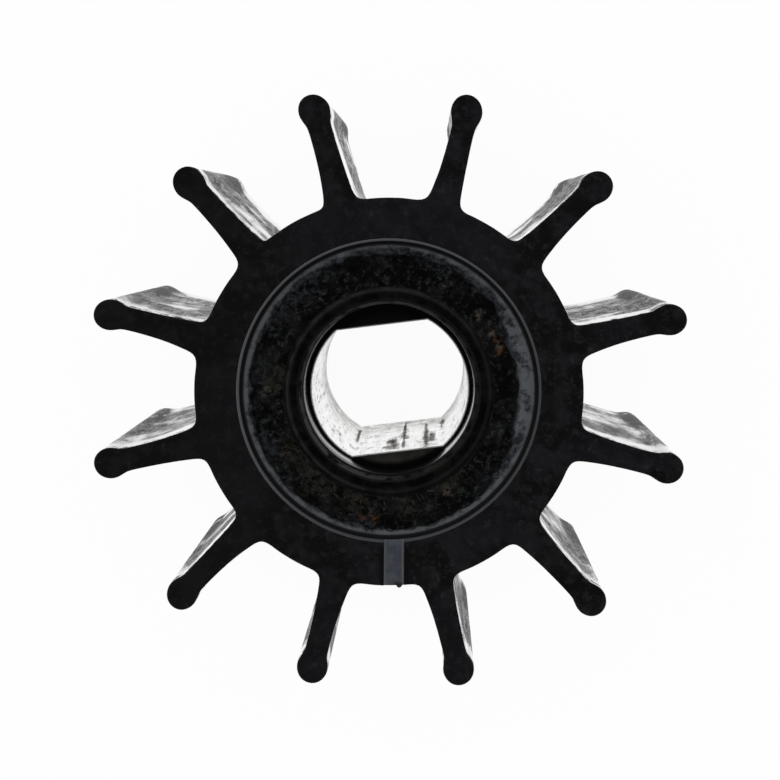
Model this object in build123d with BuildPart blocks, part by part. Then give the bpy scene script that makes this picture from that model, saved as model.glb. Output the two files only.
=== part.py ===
from build123d import *
import os

# Rubber pump impeller: a flexible hub with straight vanes, moulded round a metal drive insert.
# All sizes are in millimetres. The shaft axis is +Z, the back end face lies on Z = 0, and the
# vanes stand evenly about the X and Y axes. Both ends have the same hollow form.

# Impeller body
body_length = 63.5        # along the shaft, the same for the hub and the vanes
hub_diameter = 60.3
tip_diameter = 95.0       # across the vane tips, unflexed
vane_count = 12
vane_root_width = 4.2     # at the hub's surface
vane_neck_width = 3.1     # where the vane meets the middle of its tip bead
tip_bead_diameter = 4.8   # the round bead that wipes the pump's bore
root_fillet = 2.1
neck_fillet = 1.1
outline_round = 0.35      # on the outline of each end face

# Ring recess in each end face
recess_diameter = 47.2
recess_depth = 1.6
recess_wall_depth = 1.0   # the steep part of its wall, under the rim
recess_wall_lean = 0.4    # how far the steep part leans inward
recess_slope_run = 1.5    # the smooth slope from the steep part in to the floor
rim_round = 0.2           # on the recess's rim

# Round bead about the mouth of the bore
mouth_diameter = 26.8
mouth_bead_width = 2.45
mouth_bead_height = 0.9   # above the recess floor

# Counterbore in each end, from the mouth to the insert
counterbore_diameter = 25.9
counterbore_depth = 9.5   # from the end face to the end of the insert
lead_in_depth = 1.2       # the taper from the mouth down to the counterbore

# Shallow groove across the front face, from the recess out to the hub's side
groove_width = 3.2
groove_depth = 0.7
groove_offset = 1.1       # from the Y axis to the groove's centre line
groove_corner_round = 0.3

# Drive insert, bonded in the rubber
insert_diameter = 40.0
bore_diameter = 25.0
bore_across_flats = 20.3
bore_turn = 7.5           # degrees, from the X axis to the flats
bore_edge_chamfer = 0.3

hub_radius = hub_diameter / 2
recess_radius = recess_diameter / 2
recess_floor_radius = recess_radius - recess_wall_lean - recess_slope_run
tip_bead_centre = (tip_diameter - tip_bead_diameter) / 2
vane_pitch = 360 / vane_count
insert_length = body_length - 2 * counterbore_depth

# Each end's plane has X across the face and its own Y outward along the shaft
front_end = Plane(origin=(0, 0, body_length), x_dir=(1, 0, 0), z_dir=(0, -1, 0))
back_end = Plane(origin=(0, 0, 0), x_dir=(1, 0, 0), z_dir=(0, 1, 0))


def vane_corners():
    """One tapered vane along +X, from the shaft axis to the middle of its tip bead."""
    taper = (vane_root_width - vane_neck_width) / (tip_bead_centre - hub_radius)
    width_at_axis = vane_root_width + taper * hub_radius
    return [
        (0, -width_at_axis / 2),
        (tip_bead_centre, -vane_neck_width / 2),
        (tip_bead_centre, vane_neck_width / 2),
        (0, width_at_axis / 2),
    ]


def recess_wall_points():
    """From the counterbore's floor up the shaft axis, out over the rim, and in to the mouth bead."""
    mouth_bead_radius = mouth_diameter / 2 + mouth_bead_width
    return [
        (0, -counterbore_depth),
        (0, recess_depth),
        (recess_radius, recess_depth),
        (recess_radius, 0),
        (recess_radius - recess_wall_lean, -recess_wall_depth),
        (recess_floor_radius, -recess_depth),
        (mouth_bead_radius, -recess_depth),
    ]


def counterbore_points():
    """From the mouth down the lead-in and the counterbore, to its floor on the shaft axis."""
    return [
        (mouth_diameter / 2, -recess_depth),
        (counterbore_diameter / 2, -recess_depth - lead_in_depth),
        (counterbore_diameter / 2, -counterbore_depth),
        (0, -counterbore_depth),
    ]


# The impeller body: the hub and its vanes are one outline drawn out along the shaft
with BuildPart() as impeller_body:
    with BuildSketch():
        Circle(hub_radius)
        with PolarLocations(0, vane_count, start_angle=vane_pitch / 2):
            Polygon(*vane_corners(), align=None)
        with PolarLocations(tip_bead_centre, vane_count, start_angle=vane_pitch / 2):
            Circle(tip_bead_diameter / 2)
        fillet(vertices().group_by(SortBy.DISTANCE)[0], root_fillet)
        fillet(vertices().group_by(SortBy.DISTANCE)[-1], neck_fillet)
    extrude(amount=body_length)
    fillet(faces().filter_by(Plane.XY).edges(), outline_round)

    # The recess, mouth bead and counterbore of each end are one turned hollow
    for end in (front_end, back_end):
        with BuildSketch(end):
            with BuildLine():
                outer = Polyline(*recess_wall_points())
                bead_crest = (mouth_diameter / 2 + mouth_bead_width / 2, mouth_bead_height - recess_depth)
                ThreePointArc(outer @ 1, bead_crest, counterbore_points()[0])
                Polyline(*counterbore_points())
            make_face()
        revolve(axis=Axis.Z, mode=Mode.SUBTRACT)
    level_faces = faces().filter_by(Plane.XY).sort_by(Axis.Z)
    for end_face in (level_faces[0], level_faces[-1]):
        fillet(end_face.inner_wires().edges(), rim_round)

    # The groove across the front face runs from the recess out through the hub's side
    with BuildSketch(front_end.offset(recess_floor_radius)):
        with Locations((groove_offset, 0)):
            RectangleRounded(groove_width, 2 * groove_depth, groove_corner_round)
    extrude(amount=hub_radius + root_fillet - recess_floor_radius, mode=Mode.SUBTRACT)

    # Room for the insert, which the rubber is bonded to all round
    with Locations((0, 0, body_length / 2)):
        Cylinder(insert_diameter / 2, insert_length, mode=Mode.SUBTRACT)

impeller_body.part.label = "impeller_body"
export_step(impeller_body.part, "parts/impeller_body.step")

# The drive insert: a plain metal bush with two flats in its bore, which turn it with the shaft
with BuildPart() as drive_insert:
    with BuildSketch(Plane.XY.offset(counterbore_depth)):
        Circle(insert_diameter / 2)
    extrude(amount=insert_length)
    with BuildSketch(Plane.XY.offset(counterbore_depth)):
        Circle(bore_diameter / 2)
        Rectangle(bore_diameter, bore_across_flats, rotation=bore_turn, mode=Mode.INTERSECT)
    extrude(amount=insert_length, mode=Mode.SUBTRACT)
    for end_face in faces().filter_by(Plane.XY):
        chamfer(end_face.inner_wires().edges(), bore_edge_chamfer)

drive_insert.part.label = "drive_insert"
export_step(drive_insert.part, "parts/drive_insert.step")
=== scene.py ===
import math

import bpy
from mathutils import Matrix, Vector, noise


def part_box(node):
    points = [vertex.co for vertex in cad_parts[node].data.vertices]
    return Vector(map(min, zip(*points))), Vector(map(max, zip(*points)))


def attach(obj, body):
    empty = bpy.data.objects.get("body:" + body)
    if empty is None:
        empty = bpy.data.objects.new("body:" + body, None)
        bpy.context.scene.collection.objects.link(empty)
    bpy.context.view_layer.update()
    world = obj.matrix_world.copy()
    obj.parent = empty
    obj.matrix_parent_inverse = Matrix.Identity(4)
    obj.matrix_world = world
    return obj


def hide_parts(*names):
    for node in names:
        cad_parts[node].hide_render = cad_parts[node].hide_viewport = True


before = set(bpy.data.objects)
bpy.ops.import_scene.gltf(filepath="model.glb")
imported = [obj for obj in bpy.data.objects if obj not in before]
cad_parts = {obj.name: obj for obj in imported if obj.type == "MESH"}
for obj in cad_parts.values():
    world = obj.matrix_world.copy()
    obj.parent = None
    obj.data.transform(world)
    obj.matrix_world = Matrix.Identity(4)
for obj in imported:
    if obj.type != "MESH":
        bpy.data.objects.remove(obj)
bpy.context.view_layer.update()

# ---------------------------------------------------------------------------------------------
# Impeller body: the hub and its twelve vanes, moulded in one piece from black rubber. Half of it
# is drawn, from the front end to the middle, and mirrored, because both ends have the same form.
# Left, right, upper and lower are as seen from the front, with +X to the right and +Y up.
# ---------------------------------------------------------------------------------------------
mm = 0.001
near = 0.1 * mm
hair = 0.01 * mm
weld = 0.02 * mm
angle_slack = 0.001
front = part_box("impeller_body")[1].z
insert_low, insert_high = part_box("drive_insert")
middle = front / 2
counterbore_depth = front - insert_high.z
insert_radius = insert_high.x
vane_count = 12
vane_pitch = 2 * math.pi / vane_count
columns_per_vane = 8
hub_radius = 30.22 * mm
recess_radius = 23.6 * mm
rim_support = 24.05 * mm
edge_round = 0.6 * mm
wall_row = 9 * mm

# Where the hub's outline has its corners, in degrees from a vane's middle: even, then wanted
hub_corners = [(3.75, 4.92), (7.5, 9.76), (11.25, 12.21)]

# Cage of one vane along +X, from its root to its tip: distance from the axis, half width
vane_rows = [
    (32.30 * mm, 2.30 * mm),
    (36.17 * mm, 1.90 * mm),
    (42.29 * mm, 1.77 * mm),
    (43.04 * mm, 1.95 * mm),
    (44.91 * mm, 2.74 * mm),
    (47.01 * mm, 1.87 * mm),
]
tip_reach = 47.74 * mm
root_row_end = 31 * mm
root_half_room = 3 * mm
row_half_room = 4 * mm
bead_start = 42 * mm

# How each vane has set in service, anticlockwise from +X, in mm: how far its root, its middle
# and its tip lean over, anticlockwise, and how far the tip reaches out
vane_set = [
    (0.40, 0.62, 0.27, -0.05),
    (0.25, 0.52, 0.35, 0.06),
    (-0.27, -0.34, 0.09, -0.07),
    (0.00, -0.21, 0.21, -0.09),
    (-0.20, -0.57, -0.76, -0.26),
    (-0.25, -0.52, -0.12, -0.14),
    (0.15, 0.09, -0.16, -0.17),
    (-0.10, -0.50, -0.08, 0.30),
    (-0.08, -0.12, 0.05, -0.08),
    (-0.03, 0.00, -0.19, -0.12),
    (0.27, 0.06, -0.14, 0.28),
    (0.20, 0.41, 0.45, -0.19),
]
vane_middle = 38 * mm
bead_middle = 45.1 * mm

# Two root corners came out of the mould sharper than the rest: vane, side, size of the corner
sharp_corners = [(3, 1, 1.3 * mm), (4, -1, 0.7 * mm)]

# Cage of an end's hollow, from the rim inwards: radius, depth under the end face
end_rings = [
    (23.42 * mm, 0.30 * mm),
    (23.20 * mm, 1.00 * mm),
    (22.80 * mm, 1.24 * mm),
    (21.80 * mm, 1.60 * mm),
    (20.60 * mm, 1.64 * mm),
    (18.20 * mm, 1.62 * mm),
    (16.80 * mm, 1.62 * mm),
    (16.42 * mm, 1.46 * mm),
    (16.08 * mm, 1.08 * mm),
    (15.70 * mm, 0.76 * mm),
    (15.15 * mm, 0.63 * mm),
    (14.20 * mm, 0.68 * mm),
    (13.88 * mm, 1.02 * mm),
    (13.55 * mm, 1.80 * mm),
    (13.30 * mm, 3.00 * mm),
    (13.20 * mm, counterbore_depth),
    (insert_radius, counterbore_depth),
    (insert_radius, middle),
]

# The front hollow came out of the mould a little off the hub's middle: its rings' inner and
# outer radius, how deep down they move, and how much of the shift they take
hollow_shift = Vector((0, 0.30, 0)) * mm
hollow_moves = [
    (16.9 * mm, 25.0 * mm, front - 2.5 * mm, 1.0),
    (13.9 * mm, 16.9 * mm, front - 2.5 * mm, 0.8),
    (12.0 * mm, 13.9 * mm, middle, 1.2),
]


def edit(piece, mode):
    """Edit mode on this piece alone, with nothing in it selected."""
    if bpy.context.object and bpy.context.object.mode == "EDIT":
        bpy.ops.object.mode_set(mode="OBJECT")
    bpy.ops.object.select_all(action="DESELECT")
    bpy.context.view_layer.objects.active = piece
    piece.select_set(True)
    bpy.ops.object.mode_set(mode="EDIT")
    bpy.ops.mesh.select_mode(type=mode)
    bpy.ops.mesh.select_all(action="DESELECT")


def pick(elements, wanted):
    """Selects the vertices, edges or polygons being edited whose corners all lie where wanted."""
    mesh = bpy.context.object.data
    bpy.ops.mesh.select_all(action="DESELECT")
    bpy.ops.object.mode_set(mode="OBJECT")
    for element in getattr(mesh, elements):
        corners = [element.index] if elements == "vertices" else element.vertices
        element.select = all(wanted(mesh.vertices[i].co) for i in corners)
    bpy.ops.object.mode_set(mode="EDIT")


def narrow(wanted):
    """Keeps only those selected edges whose corners all lie where wanted."""
    mesh = bpy.context.object.data
    bpy.ops.object.mode_set(mode="OBJECT")
    for edge in mesh.edges:
        edge.select = edge.select and all(wanted(mesh.vertices[i].co) for i in edge.vertices)
    bpy.ops.object.mode_set(mode="EDIT")


def radius_of(place):
    return math.hypot(place.x, place.y)


def angle_of(place):
    return math.atan2(place.y, place.x)


def draw_ring(radius, old_radius, drop=0.0):
    """Draws the selected ring out, or in, to another radius, and down by drop."""
    bpy.ops.mesh.extrude_region_move(TRANSFORM_OT_translate={"value": (0, 0, -drop)})
    grow = radius / old_radius
    bpy.ops.transform.resize(value=(grow, grow, 1), center_override=(0, 0, 0))


def turn(angle):
    """Turns what is selected anticlockwise about the axis."""
    bpy.ops.transform.rotate(value=-angle, orient_axis="Z", center_override=(0, 0, 0))


# The front end face, as a ring from the recess's rim to the hub's wall, cut to one vane's pitch
bpy.ops.object.select_all(action="DESELECT")
bpy.ops.mesh.primitive_circle_add(
    vertices=vane_count * columns_per_vane, radius=recess_radius, location=(0, 0, front))
rubber = bpy.context.object
rubber.name = "rubber_moulding"
rubber.data.name = "rubber_moulding"
bpy.ops.object.transform_apply()
edit(rubber, "EDGE")
bpy.ops.mesh.select_all(action="SELECT")
draw_ring(rim_support, recess_radius)
draw_ring(hub_radius, rim_support)
edit(rubber, "VERT")
pick("vertices", lambda p: abs(angle_of(p)) > vane_pitch / 2 + angle_slack)
bpy.ops.mesh.delete(type="VERT")
for side in (-1, 1):
    for even, wanted in hub_corners:
        edit(rubber, "VERT")
        pick("vertices", lambda p: radius_of(p) > hub_radius - near
             and abs(angle_of(p) - math.radians(side * even)) < angle_slack)
        turn(math.radians(side * (wanted - even)))

# The vane is drawn out of the middle of the hub's edge, row by row, and the tip is rounded
root_angle = math.radians(hub_corners[0][1])
edit(rubber, "EDGE")
pick("edges", lambda p: radius_of(p) > hub_radius - near
     and abs(angle_of(p)) < root_angle + angle_slack)
row_x = hub_radius
row_half = hub_radius * math.sin(root_angle)
for distance, half in vane_rows:
    bpy.ops.mesh.extrude_region_move(TRANSFORM_OT_translate={"value": (distance - row_x, 0, 0)})
    bpy.ops.transform.resize(value=(1, half / row_half, 1), center_override=(0, 0, 0))
    if row_x == hub_radius:
        bpy.ops.transform.resize(value=(0, 1, 1), center_override=(distance, 0, 0))
    row_x, row_half = distance, half
bpy.ops.mesh.select_mode(type="VERT")
pick("vertices", lambda p: p.x > row_x - hair and abs(p.y) < hair)
bpy.ops.transform.translate(value=(tip_reach - row_x, 0, 0))

# Twelve of them make the outline, turned so that +X lies between two vanes
edit(rubber, "VERT")
bpy.ops.mesh.select_all(action="SELECT")
bpy.ops.mesh.spin(
    steps=vane_count - 1, angle=2 * math.pi - vane_pitch, dupli=True,
    center=(0, 0, 0), axis=(0, 0, 1))
bpy.ops.mesh.select_all(action="SELECT")
bpy.ops.mesh.remove_doubles(threshold=weld)
bpy.ops.mesh.select_all(action="SELECT")
turn(vane_pitch / 2)

# Each vane keeps a little of the bend it had in the pump
for number, (root_lean, lean, tip_lean, longer) in enumerate(vane_set):
    angle = vane_pitch * (number + 0.5)
    along = Vector((math.cos(angle), math.sin(angle), 0))
    across = Vector((-along.y, along.x, 0))
    pick("vertices", lambda p: radius_of(p) > hub_radius - near
         and 0 < p.dot(along) < root_row_end and abs(p.dot(across)) < root_half_room)
    bpy.ops.transform.translate(value=across * root_lean * mm)
    for distance in [row[0] for row in vane_rows] + [tip_reach]:
        if distance < vane_middle:
            bent = (distance - hub_radius) / (vane_middle - hub_radius)
            sideways = root_lean + (lean - root_lean) * bent
        else:
            bent = (distance - vane_middle) / (bead_middle - vane_middle)
            sideways = lean + (tip_lean - lean) * bent
        outward = longer if distance > bead_start else 0
        pick("vertices", lambda p: abs(p.dot(along) - distance) < near
             and abs(p.dot(across)) < row_half_room)
        bpy.ops.transform.translate(value=across * sideways * mm + along * outward * mm)

# A sharp corner has its two neighbours, on the hub and on the vane, drawn close to it
root_row = vane_rows[0][0]
for number, side, size in sharp_corners:
    angle = vane_pitch * (number + 0.5)
    corner = angle + side * math.radians(hub_corners[0][1])
    support = angle + side * math.radians(hub_corners[1][1])
    pick("vertices", lambda p: abs(radius_of(p) - hub_radius) < near
         and abs(angle_of(p) - support) < 0.01)
    turn(corner + side * size / hub_radius - support)
    along = Vector((math.cos(corner), math.sin(corner), 0))
    across = Vector((-along.y, along.x, 0))
    pick("vertices", lambda p: abs(p.dot(along) - root_row) < 0.3 * mm
         and abs(p.dot(across)) < 1.2 * mm)
    bpy.ops.transform.translate(value=along * (hub_radius + size - root_row))

# The walls are drawn down from the outline to the middle, and the end face gets a rounded edge
bpy.ops.mesh.select_mode(type="EDGE")
bpy.ops.mesh.select_all(action="DESELECT")
bpy.ops.mesh.select_non_manifold()
narrow(lambda p: radius_of(p) > hub_radius - 1 * mm)
for drop in (edge_round, wall_row, middle - wall_row - edge_round):
    bpy.ops.mesh.extrude_region_move(TRANSFORM_OT_translate={"value": (0, 0, -drop)})
bpy.ops.mesh.select_mode(type="FACE")
pick("polygons", lambda p: p.z > front - hair)
bpy.ops.mesh.inset(thickness=edge_round, use_boundary=False)
bpy.ops.object.mode_set(mode="OBJECT")

# The hollow of the end: rim, sloped shoulder, flat floor, raised bead and counterbore, whose
# lower corner stays sharp
edit(rubber, "EDGE")
pick("edges", lambda p: radius_of(p) < recess_radius + near)
radius, depth = recess_radius, 0.0
for next_radius, next_depth in end_rings:
    draw_ring(next_radius, radius, next_depth - depth)
    radius, depth = next_radius, next_depth
edit(rubber, "EDGE")
pick("edges", lambda p: radius_of(p) < 14 * mm and abs(p.z - front + counterbore_depth) < hair)
bpy.ops.transform.edge_crease(value=1)

# The other half, the front hollow's shift, and the smooth skin over it all
edit(rubber, "VERT")
bpy.ops.mesh.select_all(action="SELECT")
bpy.ops.mesh.duplicate()
bpy.ops.transform.resize(value=(1, 1, -1), center_override=(0, 0, middle))
bpy.ops.mesh.select_all(action="SELECT")
bpy.ops.mesh.remove_doubles(threshold=weld)
bpy.ops.mesh.select_all(action="SELECT")
bpy.ops.mesh.normals_make_consistent(inside=False)
for inner, outer, lowest, share in hollow_moves:
    pick("vertices", lambda p: inner < radius_of(p) < outer and p.z > lowest)
    bpy.ops.transform.translate(value=hollow_shift * share)
bpy.ops.object.mode_set(mode="OBJECT")
skin = rubber.modifiers.new("skin", "SUBSURF")
skin.levels = 2
skin.render_levels = 2
bpy.ops.object.modifier_apply(modifier="skin")

# Dried dirt and scale stand up from the hollow's floor, except where the right side was rubbed
# bare, and here and there they are olive, rusty or pale: x, y and size of each spot, in mm
spots = {
    "olive": [(-11.4, -13.1, 4.5), (-4.5, -17.0, 3.2), (-14.5, -9.5, 3.0), (3.0, -17.5, 3.0),
              (9.5, -14.0, 3.0), (-17.5, 2.0, 3.0), (13.8, 8.6, 2.0)],
    "rust": [(15.9, 9.6, 1.0), (16.5, 8.3, 1.3), (17.1, 6.6, 1.1), (-2.0, -20.1, 1.2),
             (-4.2, -19.8, 1.1)],
    "pale": [(15.6, 9.3, 0.8), (13.6, 12.2, 1.0), (16.9, 7.4, 0.8), (9.2, -15.3, 1.0),
             (-19.2, 0.0, 1.3)],
}
floor_inner = 16.0 * mm
floor_depth = 2.2 * mm
dirt_inner = 16.3 * mm
dirt_outer = 21.9 * mm
bare_width = 1.35 * mm
bare_angle = 4
bare_spread = 34


def clamp(value):
    return min(1.0, max(0.0, value))


def crust_at(place):
    """How thick the dirt lies here, and how bare the rubber was rubbed, each from 0 to 1."""
    angle = math.degrees(angle_of(place))
    rubbed = clamp(1.5 - abs(angle - bare_angle) / bare_spread)
    outer = dirt_outer - bare_width * rubbed
    wander = noise.noise(place * 190) * 0.5 * mm + noise.noise(place * 600) * 0.6 * mm
    outward = clamp((outer + wander - radius_of(place)) / (1.4 * mm))
    inward = clamp((radius_of(place) - dirt_inner) / (0.4 * mm))
    return outward * inward, rubbed


def stain_at(place, places):
    """How strong a stain is here, from 0 to 1, strongest in the middle of its nearest spot."""
    ragged = 1 + 0.6 * noise.noise(place * 800)
    return max(max(0.0, 1 - math.hypot(place.x - x * mm, place.y - y * mm) / (size * mm * ragged))
               for x, y, size in places)


rubber.vertex_groups.new(name="dirt")
layers = {name: [0.0] * len(rubber.data.vertices) for name in ("cover", "rubbed", *spots)}
for vertex in rubber.data.vertices:
    place = vertex.co.copy()
    if place.z < middle:
        place.y, place.z = -place.y, front - place.z
    if recess_radius > radius_of(place) > floor_inner and front - place.z < floor_depth:
        cover, rubbed = crust_at(place)
        layers["cover"][vertex.index] = cover
        layers["rubbed"][vertex.index] = rubbed
        for name, places in spots.items():
            layers[name][vertex.index] = stain_at(place, places)
for index, amount in enumerate(layers["cover"]):
    if amount > 0:
        rubber.vertex_groups["dirt"].add([index], amount, "REPLACE")
for name, amounts in layers.items():
    rubber.data.attributes.new("dirt_" + name, "FLOAT", "POINT").data.foreach_set("value", amounts)
lumps = bpy.data.textures.new("dirt_lumps", "CLOUDS")
lumps.noise_scale = 1.3 * mm
lumps.noise_depth = 3
crust = rubber.modifiers.new("crust", "DISPLACE")
crust.texture = lumps
crust.texture_coords = "LOCAL"
crust.vertex_group = "dirt"
crust.strength = 0.65 * mm
crust.mid_level = 0.40
bpy.ops.object.modifier_apply(modifier="crust")
rubber.vertex_groups.clear()

# A nub of flash is left on the hub's edge, at the groove's right corner
nub_middle = 2.05 * mm
nub_half = 0.35 * mm
nub_height = 1.3 * mm
nub_length = 0.42 * mm
edit(rubber, "VERT")
pick("vertices", lambda p: abs(p.x - nub_middle) < nub_half and -32 * mm < p.y < -29 * mm
     and p.z > front - nub_height)
bpy.ops.transform.translate(value=(0, -nub_length, 0))
bpy.ops.object.mode_set(mode="OBJECT")

# The key groove across the front end face only, cut with a bar that has softened edges
groove_width = 3.2 * mm
groove_depth = 0.7 * mm
groove_offset = 1.1 * mm
groove_inner = 21.7 * mm
groove_length = 12 * mm
groove_edge_round = 0.25 * mm
bpy.ops.object.select_all(action="DESELECT")
bpy.ops.mesh.primitive_cube_add(size=1, location=(
    groove_offset, -groove_inner - groove_length / 2, front))
cutter = bpy.context.object
cutter.scale = (groove_width, groove_length, 2 * groove_depth)
bpy.ops.object.transform_apply()
edit(cutter, "EDGE")
pick("edges", lambda p: p.z < front and abs(p.x - groove_offset) > 1 * mm)
bpy.ops.mesh.bevel(offset=groove_edge_round, segments=3, affect="EDGES")
bpy.ops.object.mode_set(mode="OBJECT")
bpy.context.view_layer.objects.active = rubber
groove = rubber.modifiers.new("groove", "BOOLEAN")
groove.object = cutter
groove.operation = "DIFFERENCE"
groove.solver = "EXACT"
bpy.ops.object.modifier_apply(modifier="groove")
bpy.data.objects.remove(cutter)
bpy.ops.object.select_all(action="DESELECT")
rubber.select_set(True)
bpy.ops.object.shade_smooth_by_angle(angle=math.radians(38))
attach(rubber, "root")
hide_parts("impeller_body")


def put(tree, kind, sockets=None, **settings):
    """Adds a node with its settings; a socket takes a value or another node's output."""
    node = tree.nodes.new(kind)
    for name, value in settings.items():
        setattr(node, name, value)
    for key, value in (sockets or {}).items():
        if isinstance(value, bpy.types.NodeSocket):
            tree.links.new(value, node.inputs[key])
        else:
            node.inputs[key].default_value = value
    return node


def calc(tree, operation, *values):
    """One step of arithmetic."""
    return put(tree, "ShaderNodeMath", dict(enumerate(values)), operation=operation).outputs[0]


def plus(tree, first, second):
    return calc(tree, "ADD", first, second)


def less(tree, first, second):
    return calc(tree, "SUBTRACT", first, second)


def times(tree, first, second):
    return calc(tree, "MULTIPLY", first, second)


def larger(tree, first, second):
    return calc(tree, "MAXIMUM", first, second)


def off(tree, value, centre):
    """How far a value lies from a centre, to either side."""
    return calc(tree, "ABSOLUTE", less(tree, value, centre))


def vector_calc(tree, operation, first, second):
    """One step of arithmetic with two vectors."""
    return put(tree, "ShaderNodeVectorMath", {0: first, 1: second}, operation=operation).outputs


def towards(tree, where, direction):
    """How far a place lies in a direction."""
    return vector_calc(tree, "DOT_PRODUCT", where, direction)["Value"]


def reach_of(tree, where):
    """How far a place lies from the axis."""
    flat = vector_calc(tree, "MULTIPLY", where, (1, 1, 0))[0]
    return put(tree, "ShaderNodeVectorMath", {0: flat}, operation="LENGTH").outputs["Value"]


def split(tree, where):
    """The x, y and z of a place."""
    return put(tree, "ShaderNodeSeparateXYZ", {0: where}).outputs[:]


def drawn_out(tree, where, share):
    """The place with its z squeezed, which draws a pattern out along the axis."""
    return put(tree, "ShaderNodeMapping", {"Vector": where, "Scale": (1.0, 1.0, share)}).outputs[0]


def spread(tree, value, low, high, to_low=0.0, to_high=1.0):
    """Turns a range of a value smoothly into another range."""
    sockets = {0: value, 1: low, 2: high, 3: to_low, 4: to_high}
    return put(tree, "ShaderNodeMapRange", sockets, interpolation_type="SMOOTHSTEP").outputs[0]


def fade(tree, value, low, high):
    """1 below low, 0 above high."""
    return spread(tree, value, low, high, 1.0, 0.0)


def between(tree, value, rises_from, rises_to, falls_from, falls_to):
    """1 in a range of a value, with two soft ends."""
    return times(tree, spread(tree, value, rises_from, rises_to),
                 fade(tree, value, falls_from, falls_to))


def mottle(tree, where, size, detail=3.0, roughness=0.55, distortion=0.0):
    """Cloudy pattern with patches of about this size."""
    sockets = {"Vector": where, "Scale": 1 / size, "Detail": detail,
               "Roughness": roughness, "Distortion": distortion}
    return put(tree, "ShaderNodeTexNoise", sockets).outputs[0]


def tint(tree, amount, under, over):
    """Lays one colour over another by an amount; each is red, green, blue or a node's output."""
    under, over = [(*paint, 1) if isinstance(paint, tuple) else paint for paint in (under, over)]
    return put(tree, "ShaderNodeMix", {0: amount, 6: under, 7: over}, data_type="RGBA").outputs[2]


def finish(name, specular):
    """A new material: its tree, its shader and the place on the piece."""
    material = bpy.data.materials.new(name)
    material.use_nodes = True
    tree = material.node_tree
    shader = tree.nodes["Principled BSDF"]
    shader.inputs["Specular IOR Level"].default_value = specular
    where = put(tree, "ShaderNodeTexCoord").outputs["Object"]
    return material, tree, shader, where


def wire(tree, shader, colour, roughness, height, bump):
    """Joins a colour, a roughness and a relief of so many metres to the shader."""
    relief = put(tree, "ShaderNodeBump", {"Height": height, "Distance": bump}).outputs[0]
    tree.links.new(colour, shader.inputs["Base Color"])
    tree.links.new(roughness, shader.inputs["Roughness"])
    tree.links.new(relief, shader.inputs["Normal"])


# End faces: dull black rubber, chalky and mottled, with small scuffs and pits. It darkens to the
# left, and painted shade lies along both sides of the groove
face_rubber, tree, shader, where = finish("rubber_end_faces", 0.05)
clouds = mottle(tree, where, 16 * mm, 3)
mist = mottle(tree, where, 4 * mm, 4, 0.6)
grain = mottle(tree, where, 1.0 * mm, 4, 0.75)
scuffs = mottle(tree, where, 2.0 * mm, 5, 0.75, 0.6)
brown_black = (0.0014, 0.0013, 0.0012)
blue_black = (0.0034, 0.0032, 0.0042)
colour = tint(tree, spread(tree, clouds, 0.42, 0.58), brown_black, blue_black)
colour = tint(tree, spread(tree, mist, 0.42, 0.64), colour, (0.0058, 0.0054, 0.0064))
colour = tint(tree, spread(tree, grain, 0.50, 0.66), colour, (0.0084, 0.0079, 0.0098))
colour = tint(tree, spread(tree, scuffs, 0.60, 0.72), colour, (0.0155, 0.0150, 0.0175))
x, y = split(tree, where)[:2]
leftward = spread(tree, x, -32 * mm, 4 * mm, 0.45, 0.0)
colour = tint(tree, leftward, colour, (0.0020, 0.0019, 0.0018))
# Painted shade: the face is darkened in strips along both sides of the groove
groove_darkening = times(tree, fade(tree, off(tree, x, groove_offset), 1.7 * mm, 2.9 * mm),
              fade(tree, y, -24.2 * mm, -23.4 * mm))
colour = tint(tree, groove_darkening, colour, (0.0012, 0.0013, 0.0014))
roughness = spread(tree, grain, 0.3, 0.7, 0.62, 0.50)
wire(tree, shader, colour, roughness, plus(tree, grain, scuffs), 0.08 * mm)

# Hub wall and vane sides: polished by the water and, on the tips, by the housing, so that they
# mirror the table. Over that lies a dull grey film, in bands and in streaks along the axis, which
# is thin near both ends. The tips are dirty, with painted shade at their far end; the front edge is
# chipped
side_rubber, tree, shader, where = finish("rubber_sides", 0.5)
shader.inputs["Coat Roughness"].default_value = 0.05
z = split(tree, where)[2]
reach = reach_of(tree, where)
lengthwise = drawn_out(tree, where, 0.22)
bands = mottle(tree, where, 13 * mm, 2, 0.5, 0.4)
streaks = mottle(tree, lengthwise, 3.2 * mm, 4, 0.65, 0.4)
crinkles = mottle(tree, lengthwise, 1.0 * mm, 4, 0.75, 0.3)
near_ends = plus(tree, spread(tree, z, front - 11 * mm, front - 1 * mm, 0.06, -0.50),
                 spread(tree, z, 4 * mm, 14 * mm, -0.25, 0.05))
film = plus(tree, times(tree, less(tree, bands, 0.5), 1.6), plus(tree, near_ends, 0.56))
film = plus(tree, film, times(tree, less(tree, streaks, 0.5), 0.8))
tip_dirt = plus(tree, times(tree, less(tree, crinkles, 0.45), 1.2),
                spread(tree, z, 20 * mm, 34 * mm, 0.22, 0.0))
film = plus(tree, film, times(tree, spread(tree, reach, 41.5 * mm, 43.5 * mm), tip_dirt))
wiped = spread(tree, reach, 45.0 * mm, 46.4 * mm)
film = less(tree, film, times(tree, wiped, 0.40))
chips = times(tree, spread(tree, z, front - 4.5 * mm, front - 0.5 * mm),
              spread(tree, mottle(tree, where, 1.3 * mm, 3), 0.44, 0.60))
film = plus(tree, film, times(tree, chips, 0.9))
dull = spread(tree, film, 0.14, 0.84)
grainy = times(tree, spread(tree, crinkles, 0.40, 0.62),
               spread(tree, bands, 0.36, 0.60, 0.35, 1.0))
most_shade = 0.85
# Painted shade: the tips darken towards the far end
tip_shade = times(tree, spread(tree, reach, 40.5 * mm, 43.0 * mm),
                  spread(tree, z, 16 * mm, 30 * mm, most_shade, 0.0))
colour = tint(tree, dull, (0.0060, 0.0062, 0.0066), (0.0130, 0.0150, 0.0170))
colour = tint(tree, times(tree, dull, grainy), colour, (0.050, 0.053, 0.058))
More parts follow.
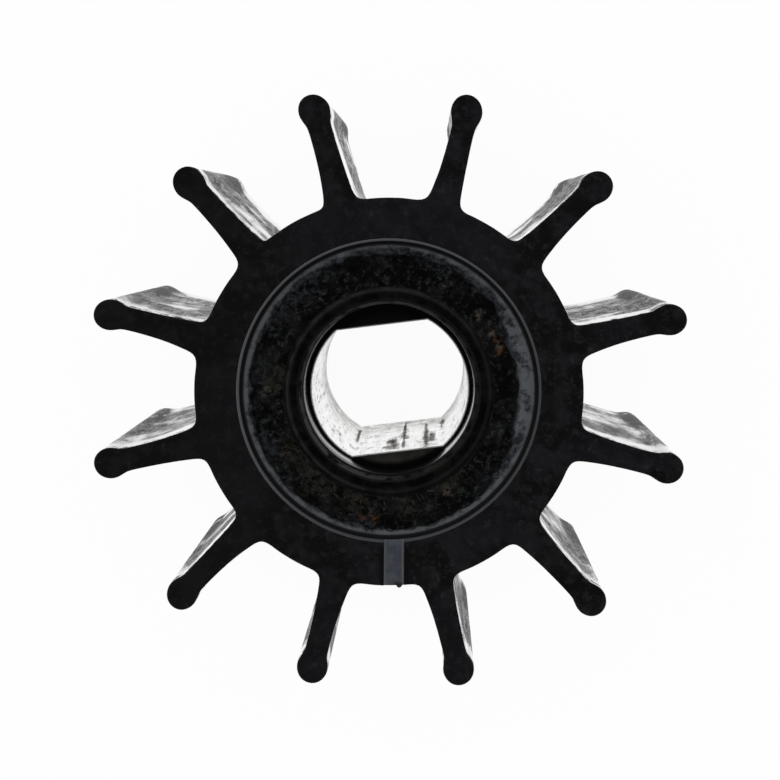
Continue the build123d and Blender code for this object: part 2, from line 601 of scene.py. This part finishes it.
colour = tint(tree, tip_shade, colour, (0.0050, 0.0052, 0.0056))
colour = tint(tree, chips, colour, (0.002, 0.002, 0.002))
shine = calc(tree, "POWER", less(tree, 1.0, dull), 1.8)
glimmer = times(tree, grainy, spread(tree, tip_shade, 0.0, most_shade, 0.36, 0.06))
shine = calc(tree, "MINIMUM", plus(tree, shine, glimmer), 1.0)
tree.links.new(shine, shader.inputs["Coat Weight"])
roughness = spread(tree, film, 0.30, 0.85, 0.06, 0.62)
wire(tree, shader, colour, roughness, times(tree, crinkles, plus(tree, dull, 0.04)), 0.08 * mm)

# Hollows: dirt on the floor, chalky rubber where it is bare, and the slope, wall and rim outside
hollow_rubber, tree, shader, where = finish("rubber_hollows", 0.03)
dirt = {name: put(tree, "ShaderNodeAttribute", attribute_name="dirt_" + name).outputs["Fac"]
        for name in layers}
at_front = spread(tree, split(tree, where)[2], middle - 1 * mm, middle + 1 * mm)
shift = put(tree, "ShaderNodeVectorMath", {0: hollow_shift, 3: at_front}, operation="SCALE").outputs[0]
centred = vector_calc(tree, "SUBTRACT", where, shift)[0]
reach = reach_of(tree, centred)
flakes = mottle(tree, where, 3.0 * mm, 4, 0.60, 0.5)
crumbs = mottle(tree, where, 1.0 * mm, 5, 0.72, 0.4)
patches = mottle(tree, where, 5.0 * mm, 3, 0.6)
ragged = plus(tree, times(tree, flakes, 0.9), times(tree, crumbs, 0.7))

# The dirt is black in the pits, brown-black on top, with grit, painted highlights along its ridges,
# bluish slate and stains
pit_black = (0.0008, 0.0008, 0.0008)
soil = tint(tree, spread(tree, flakes, 0.44, 0.60), pit_black, (0.0054, 0.0056, 0.0055))
soil = tint(tree, spread(tree, crumbs, 0.48, 0.68), soil, (0.0120, 0.0124, 0.0120))
deep = times(tree, fade(tree, patches, 0.40, 0.52), 0.8)
soil = tint(tree, deep, soil, (0.0006, 0.0006, 0.0006))
grit = times(tree, spread(tree, crumbs, 0.55, 0.66), spread(tree, patches, 0.50, 0.62))
soil = tint(tree, grit, soil, (0.032, 0.034, 0.034))
# Painted highlights: thin pale lines along the dirt's ridges
ridge_highlights = off(tree, mottle(tree, where, 2.4 * mm, 3, 0.55, 0.8), 0.5)
ridge_highlights = times(tree, spread(tree, ridge_highlights, 0.0, 0.030, 0.8, 0.0), spread(tree, crumbs, 0.42, 0.62))
soil = tint(tree, ridge_highlights, soil, (0.024, 0.026, 0.026))
slate = times(tree, spread(tree, patches, 0.50, 0.64), spread(tree, reach, 18.5 * mm, 21.0 * mm))
slate = times(tree, slate, spread(tree, crumbs, 0.42, 0.60))
soil = tint(tree, slate, soil, (0.0170, 0.0200, 0.0245))
blots = spread(tree, crumbs, 0.40, 0.62)
stain_paint = {
    "olive": (0.0190, 0.0180, 0.0135),
    "rust": (0.060, 0.028, 0.014),
    "pale": (0.070, 0.060, 0.052),
}
for name, paint in stain_paint.items():
    soil = tint(tree, times(tree, spread(tree, dirt[name], 0.0, 0.8), blots), soil, paint)

# Bare rubber is thinly dusted on the left and chalky where it was rubbed, on the right
dust = tint(tree, blots, (0.0040, 0.0045, 0.0055), (0.026, 0.029, 0.033))
chalk_low = (0.0120, 0.0140, 0.0170)
chalk = tint(tree, spread(tree, ragged, 0.70, 0.94), chalk_low, (0.070, 0.075, 0.081))
chalk = tint(tree, spread(tree, reach, 19.6 * mm, 21.0 * mm), (0.0160, 0.0180, 0.0210), chalk)
bare = tint(tree, dirt["rubbed"], dust, chalk)
cover = spread(tree, plus(tree, dirt["cover"], ragged), 1.02, 1.34)
colour = tint(tree, cover, bare, soil)

# Outside the floor: a worn grey slope with a painted highlight, a black wall with painted shade at its
# foot, and a rim painted pale as a highlight, palest to the upper left
# Wear and a painted highlight: a grey band with ragged edges on the slope
slope_band_reach = plus(tree, reach, times(tree, less(tree, flakes, 0.5), 1.5 * mm))
slope_wear_and_highlight = times(tree, spread(tree, slope_band_reach, 21.75 * mm, 22.30 * mm),
             spread(tree, plus(tree, flakes, crumbs), 0.80, 1.10, 0.45, 1.0))
colour = tint(tree, slope_wear_and_highlight, colour, (0.062, 0.066, 0.070))
# Painted shade: the wall is kept black
wall_shade = spread(tree, reach, 22.42 * mm, 22.80 * mm)
colour = tint(tree, wall_shade, colour, (0.0030, 0.0030, 0.0034))
upper_left = towards(tree, centred, (-0.6, 0.8, 0))
# Painted highlight on the rim, palest to the upper left
rim_highlight_paint = tint(tree, spread(tree, upper_left, -20 * mm, 20 * mm),
                 (0.042, 0.044, 0.047), (0.084, 0.087, 0.092))
rim_highlight = spread(tree, reach, 23.18 * mm, 23.34 * mm)
colour = tint(tree, rim_highlight, colour, rim_highlight_paint)
roughness = spread(tree, cover, 0.0, 1.0, 0.40, 0.75)
relief = times(tree, plus(tree, flakes, crumbs), plus(tree, cover, 0.08))
wire(tree, shader, colour, roughness, relief, 0.7 * mm)

# Bead and counterbore: clean, smooth and glossy from the shaft's sleeve, with painted highlights as
# grey lines round the mouth and the bead's shoulder, strongest to the left: inner and outer radius in
# mm, most, paint
seat_rubber, tree, shader, where = finish("rubber_seats", 0.05)
film = mottle(tree, where, 2.2 * mm, 4, 0.6)
colour = tint(tree, spread(tree, film, 0.40, 0.70), (0.0009, 0.0009, 0.0009), (0.0040, 0.0038, 0.0035))
centred = vector_calc(tree, "SUBTRACT", where, hollow_shift)[0]
reach = reach_of(tree, centred)
leftward = towards(tree, centred, (-0.7, 0.3, 0))
for inner, outer, most, paint in ((13.55, 13.90, 0.9, (0.040, 0.041, 0.043)),
                                  (15.72, 16.00, 0.7, (0.012, 0.013, 0.014))):
    # Painted highlights: thin grey lines at the mouth's edge and the bead's shoulder
    highlight_line = between(tree, reach, (inner - 0.12) * mm, inner * mm, outer * mm, (outer + 0.12) * mm)
    highlight_line = times(tree, highlight_line, spread(tree, film, 0.36, 0.56, 0.0, most))
    highlight_line = times(tree, highlight_line, spread(tree, leftward, -10 * mm, 4 * mm, 0.25, 1.0))
    colour = tint(tree, highlight_line, colour, paint)

# The counterbore's wall is rubbed dull near its mouth and polished further in
z = split(tree, where)[2]
below_end = calc(tree, "MINIMUM", z, less(tree, front, z))
rubbed = between(tree, below_end, 0.7 * mm, 1.2 * mm, 2.8 * mm, 3.6 * mm)
roughness = plus(tree, spread(tree, film, 0.3, 0.7, 0.18, 0.26), times(tree, rubbed, 0.50))
wider_right = spread(tree, leftward, -9 * mm, -3 * mm, 2.2 * mm, 0.0)
polished = times(tree, spread(tree, plus(tree, below_end, wider_right), 4.4 * mm, 6.2 * mm),
                 spread(tree, film, 0.35, 0.50, 0.5, 0.8))
shader.inputs["Coat Roughness"].default_value = 0.08
tree.links.new(polished, shader.inputs["Coat Weight"])
wire(tree, shader, colour, roughness, film, 0.02 * mm)

# Groove: paler, as it left the mould, with painted highlights along its edges, and darker beside the
# nub
groove_rubber, tree, shader, where = finish("rubber_groove", 0.4)
x, y = split(tree, where)[:2]
film = mottle(tree, where, 1.5 * mm, 4, 0.6)
colour = tint(tree, spread(tree, film, 0.35, 0.65), (0.026, 0.030, 0.039), (0.040, 0.045, 0.055))
# Painted highlights: the groove's floor is lighter along both of its edges
edges = spread(tree, off(tree, x, groove_offset), 0.8 * mm, 1.4 * mm)
colour = tint(tree, edges, colour, (0.054, 0.058, 0.063))
groove_darkening = times(tree, fade(tree, off(tree, x, 1.8 * mm), 0.4 * mm, 0.9 * mm),
              fade(tree, y, -30.1 * mm, -29.4 * mm))
colour = tint(tree, groove_darkening, colour, (0.0040, 0.0042, 0.0044))
wire(tree, shader, colour, spread(tree, film, 0.3, 0.7, 0.30, 0.40), film, 0.04 * mm)

# Each face of the moulding takes the finish of the region that its middle lies in
seat_radius = 16.4 * mm
rim_slack = 0.05 * mm
rim_below = 0.02 * mm
face_below = 0.16 * mm
looks = [side_rubber, face_rubber, hollow_rubber, seat_rubber, groove_rubber]
for material in looks:
    rubber.data.materials.append(material)
for polygon in rubber.data.polygons:
    centre = polygon.center
    below_end = min(centre.z, front - centre.z)
    off_hollow = radius_of(centre - hollow_shift if centre.z > middle else centre)
    in_groove = abs(centre.x - groove_offset) < groove_width / 2 and centre.y < -groove_inner
    look = side_rubber
    if radius_of(centre) < seat_radius:
        look = seat_rubber
    elif off_hollow < recess_radius + rim_slack and below_end > rim_below:
        look = hollow_rubber
    elif below_end < face_below:
        look = face_rubber
    elif in_groove and 0.9 * groove_depth < front - centre.z < 1.1 * groove_depth:
        look = groove_rubber
    polygon.material_index = looks.index(look)

# ---------------------------------------------------------------------------------------------
# Drive insert: the metal bush moulded into the middle of the hub, with its two-flat bore bright
# from the shaft and its end faces dark with tarnish. It keeps the solid's own mesh.
# ---------------------------------------------------------------------------------------------
bore_turn = math.radians(7.5)
insert_metal, tree, shader, where = finish("insert_metal", 0.05)
turned = put(tree, "ShaderNodeMapping", {"Vector": where, "Rotation": (0, 0, -bore_turn)}).outputs[0]
x, y, z = split(tree, turned)
above_low = less(tree, z, insert_low.z)
lengthwise = drawn_out(tree, turned, 0.10)
wear = mottle(tree, lengthwise, 1.5 * mm, 4, 0.6)
streaks = mottle(tree, lengthwise, 0.7 * mm, 5, 0.75)
blotches = mottle(tree, turned, 2.2 * mm, 5, 0.7, 0.6)
colour = tint(tree, spread(tree, wear, 0.45, 0.75), (0.97, 0.97, 0.965), (0.80, 0.80, 0.79))

# Brown stains in streaks on the lower flat, in mm: middle, half width, low and high end
flat_stains = [
    (0.85, 0.5, 12, 50),
    (4.6, 0.7, 18, 52),
    (5.6, 1.0, 34, 46),
    (-1.0, 2.0, 36, 50),
    (0.6, 1.4, 32, 38),
    (-7.3, 0.5, 14, 34),
    (7.6, 0.9, 14, 26),
]
stained = 0.0
for stain_x, half_width, low, high in flat_stains:
    strip = fade(tree, off(tree, x, stain_x * mm), 0.0, half_width * mm)
    ends = between(tree, z, (low - 5) * mm, (low + 5) * mm, (high - 5) * mm, (high + 5) * mm)
    stained = larger(tree, stained, times(tree, strip, ends))
stained = times(tree, stained, fade(tree, y, -10.0 * mm, -9.0 * mm))
marks = plus(tree, times(tree, plus(tree, streaks, blotches), 0.5), times(tree, stained, 0.19))
brown = spread(tree, marks, 0.64, 0.78)
# Painted shade: the bore turns grey in blotches towards its far end
far_end_shade = times(tree, spread(tree, above_low, 0.0, 24 * mm, 0.60, 0.0),
              spread(tree, blotches, 0.30, 0.60))
# Smudges from the marks, together with that painted shade
smudge_and_shade = larger(tree, spread(tree, marks, 0.50, 0.68), far_end_shade)
colour = tint(tree, smudge_and_shade, colour, (0.42, 0.40, 0.37))
colour = tint(tree, brown, colour, (0.050, 0.037, 0.029))

# The end faces are tarnished, darkest in the corner under the counterbore's wall, with dirt and painted
# shade
tarnish = larger(tree, fade(tree, above_low, 0.0, 0.04 * mm),
                 spread(tree, z, insert_high.z - 0.35 * mm, insert_high.z - 0.05 * mm))
end_paint = tint(tree, spread(tree, blotches, 0.35, 0.65), (0.022, 0.021, 0.020), (0.036, 0.034, 0.032))
end_paint = tint(tree, spread(tree, y, -11.5 * mm, -9.0 * mm), end_paint, (0.0035, 0.0035, 0.0040))
# Dirt and painted shade in the corner under the counterbore's wall
corner_dirt_and_shade = spread(tree, reach_of(tree, turned), 11.5 * mm, 12.5 * mm)
end_paint = tint(tree, corner_dirt_and_shade, end_paint, (0.0006, 0.0006, 0.0006))
colour = tint(tree, tarnish, colour, end_paint)
dirty = larger(tree, tarnish, larger(tree, times(tree, smudge_and_shade, 0.7), brown))
tree.links.new(less(tree, 1.0, dirty), shader.inputs["Metallic"])
roughness = plus(tree, spread(tree, wear, 0.3, 0.7, 0.16, 0.24), times(tree, dirty, 0.5))
wire(tree, shader, colour, roughness, plus(tree, wear, blotches), 0.02 * mm)
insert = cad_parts["drive_insert"]
insert.data.materials.clear()
insert.data.materials.append(insert_metal)

# ---------------------------------------------------------------------------------------------
# Studio: a pale table that the impeller stands on, a soft white room that is dim overhead, and
# the camera nearly straight above.
# ---------------------------------------------------------------------------------------------
bpy.ops.object.select_all(action="DESELECT")
bpy.ops.mesh.primitive_plane_add(size=6)
table = bpy.context.object
table.name = "table"
table_white, tree, shader, where = finish("table_white", 0.2)
shader.inputs["Base Color"].default_value = (0.80, 0.80, 0.80, 1)
shader.inputs["Roughness"].default_value = 0.8
paths = put(tree, "ShaderNodeLightPath").outputs
seen = larger(tree, paths["Is Camera Ray"],
              larger(tree, paths["Is Glossy Ray"], paths["Is Transmission Ray"]))
glow = put(tree, "ShaderNodeEmission", {"Strength": 1.0}).outputs[0]
mixed = put(tree, "ShaderNodeMixShader", {0: times(tree, seen, 0.96),
                                          1: shader.outputs[0], 2: glow}).outputs[0]
tree.links.new(mixed, tree.nodes["Material Output"].inputs["Surface"])
table.data.materials.append(table_white)

# The room's walls are bright, more so to the upper left, and the camera sees them plain white
room = bpy.data.worlds.new("room")
bpy.context.scene.world = room
room.use_nodes = True
tree = room.node_tree
background = tree.nodes["Background"]
direction = put(tree, "ShaderNodeTexCoord").outputs["Generated"]
rise = split(tree, direction)[2]
walls = between(tree, rise, 0.02, 0.16, 0.80, 0.93)
walls = times(tree, walls, plus(tree, towards(tree, direction, (-0.15, 0.35, 0)), 1.0))
level = plus(tree, times(tree, walls, 1.25), 0.14)
paths = put(tree, "ShaderNodeLightPath").outputs
level = put(tree, "ShaderNodeMix", {0: paths["Is Camera Ray"], 2: level, 3: 1.0}).outputs[0]
tree.links.new(level, background.inputs["Strength"])
background.inputs["Color"].default_value = (1, 1, 1, 1)

eye = Vector((5.96, 26.55, 355.3)) * mm
aim = Vector((0.23, 0.545, 63.5)) * mm
roll = 0.0099
camera_data = bpy.data.cameras.new("camera")
camera_data.lens = 87.41
camera_data.sensor_width = 36
camera = bpy.data.objects.new("camera", camera_data)
bpy.context.scene.collection.objects.link(camera)
forward = (aim - eye).normalized()
right = forward.cross(Vector((0, 1, 0))).normalized()
up = right.cross(forward)
right, up = (right * math.cos(roll) + up * math.sin(roll),
             up * math.cos(roll) - right * math.sin(roll))
camera.matrix_world = Matrix((
    (right.x, up.x, -forward.x, eye.x),
    (right.y, up.y, -forward.y, eye.y),
    (right.z, up.z, -forward.z, eye.z),
    (0, 0, 0, 1)))
bpy.context.scene.camera = camera
bpy.context.scene.view_settings.view_transform = "Standard"
